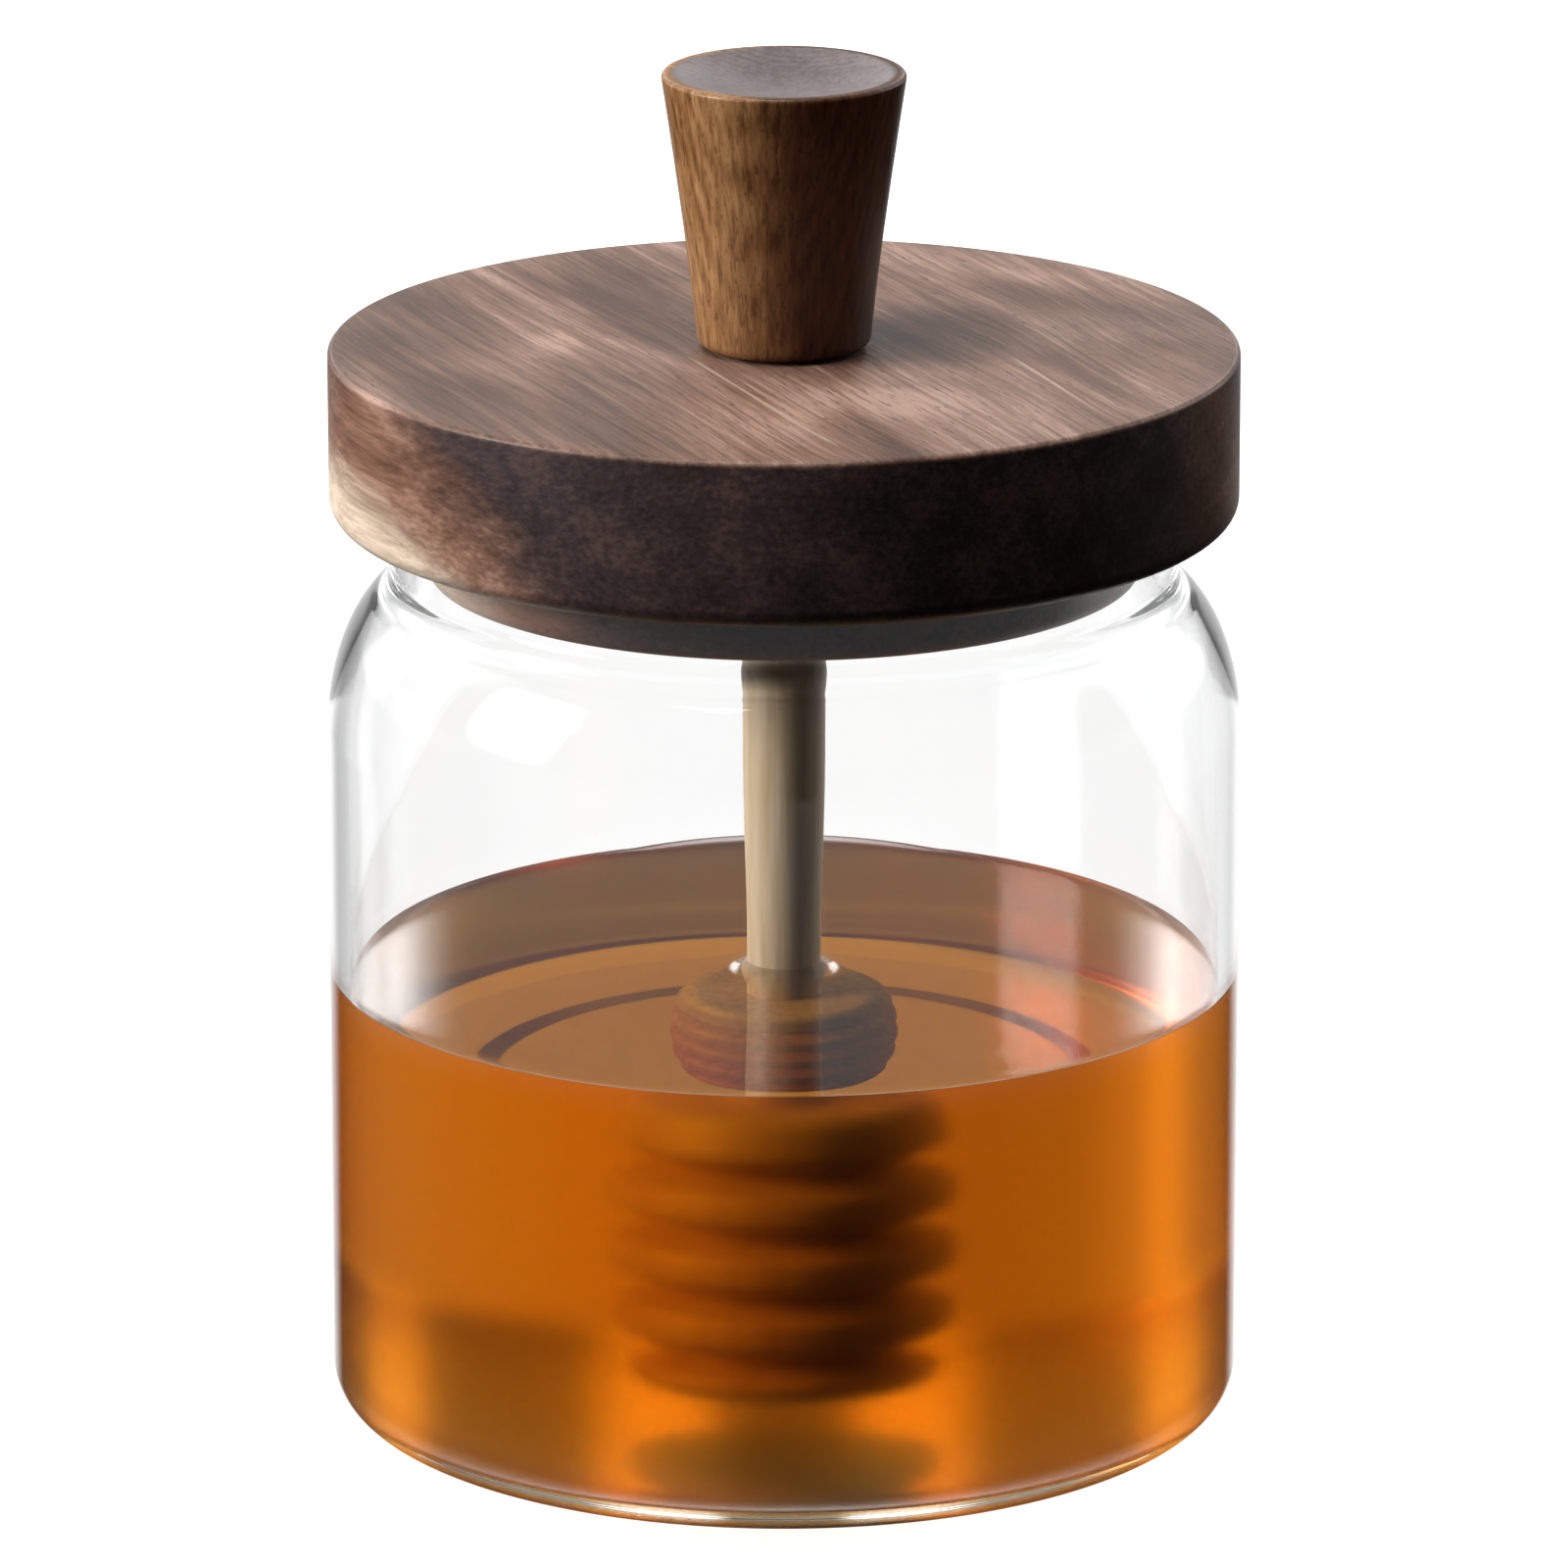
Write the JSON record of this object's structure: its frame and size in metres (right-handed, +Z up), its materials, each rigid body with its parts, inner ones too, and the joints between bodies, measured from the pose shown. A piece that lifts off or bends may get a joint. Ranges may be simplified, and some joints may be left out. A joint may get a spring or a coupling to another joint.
{
  "type": "honey dispenser",
  "caption": "Round clear glass jar part filled with honey, closed by a thick turned wooden lid with a flared knob and a ridged wooden dipper under it.",
  "frame": {"origin": "centre of the jar's foot, on the surface that it stands on", "axes": "+Z up along the common axis of jar, lid, knob and dipper; the pictured side faces -Y"},
  "size_m": [0.1008, 0.1008, 0.1513],
  "materials": {
    "clear_glass": "clear, smooth and colourless",
    "honey": "clear amber honey, glossy and wet",
    "dark_wood": "oiled dark brown wood with straight grain, satin",
    "brown_wood": "oiled warm brown wood, grain along the stem, satin",
    "pale_wood": "plain pale beech, fine grain"
  },
  "bodies": {
    "root": {"glass_jar": "clear_glass", "honey": "honey", "lid": "dark_wood", "knob": "brown_wood", "dipper": "pale_wood"}
  },
  "joints": []
}
